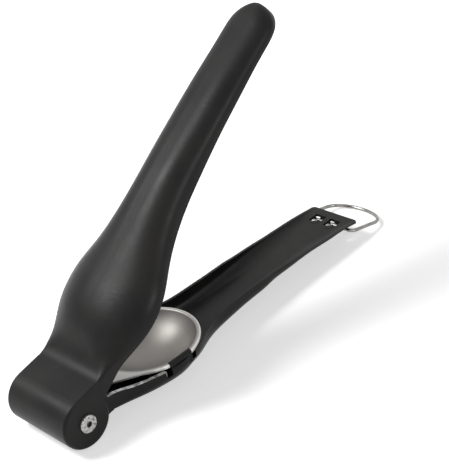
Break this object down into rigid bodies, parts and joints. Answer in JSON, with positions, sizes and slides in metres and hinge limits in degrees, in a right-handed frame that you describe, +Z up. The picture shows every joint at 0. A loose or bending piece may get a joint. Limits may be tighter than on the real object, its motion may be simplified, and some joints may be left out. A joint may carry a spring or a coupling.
{
  "type": "chestnut cutter",
  "caption": "Hand cutter for chestnuts: two hinged pressed handles, a dished cup for the nut, crossed toothed blades in the upper handle and a wire locking ring.",
  "frame": {"origin": "on the table under the middle of the open tool", "axes": "+X from the hinge to the handles' free ends, +Y across the tool to its far side, +Z up"},
  "size_m": [0.1804, 0.0462, 0.1133],
  "materials": {
    "upper_handle": "satin black coating",
    "lower_handle": "satin black coating",
    "cup": "spun stainless steel",
    "ring": "bright plated wire",
    "hinge": "zinc plated steel",
    "spool": "plain moulded",
    "spring": "drawn wire",
    "blade": "ground stainless steel"
  },
  "bodies": {
    "lower": {"lower_handle": "lower_handle", "nut_cup": "cup", "spring_spool": "spool", "opening_spring": "spring", "near_washer": "hinge", "far_washer": "hinge"},
    "upper": {"upper_handle": "upper_handle", "blade_plate": "blade", "long_blade": "blade", "cross_blade": "blade", "hinge_screw": "hinge", "hinge_sleeve": "hinge"},
    "ring": {"locking_ring": "ring"}
  },
  "joints": [
    {"name": "handle_hinge", "type": "hinge", "parent": "lower", "child": "upper", "pos_m": [-0.07992, 0, 0.0103], "axis": [0, 1, 0], "range_deg": [0, 36], "stiffness_Nm_per_rad": 0.25, "springref_deg": -28.65, "deforming": ["opening_spring"]},
    {"name": "ring_hinge", "type": "hinge", "parent": "lower", "child": "ring", "pos_m": [0.06734, 0, 0.00622], "axis": [0, -1, 0], "range_deg": [-155, 140]}
  ]
}
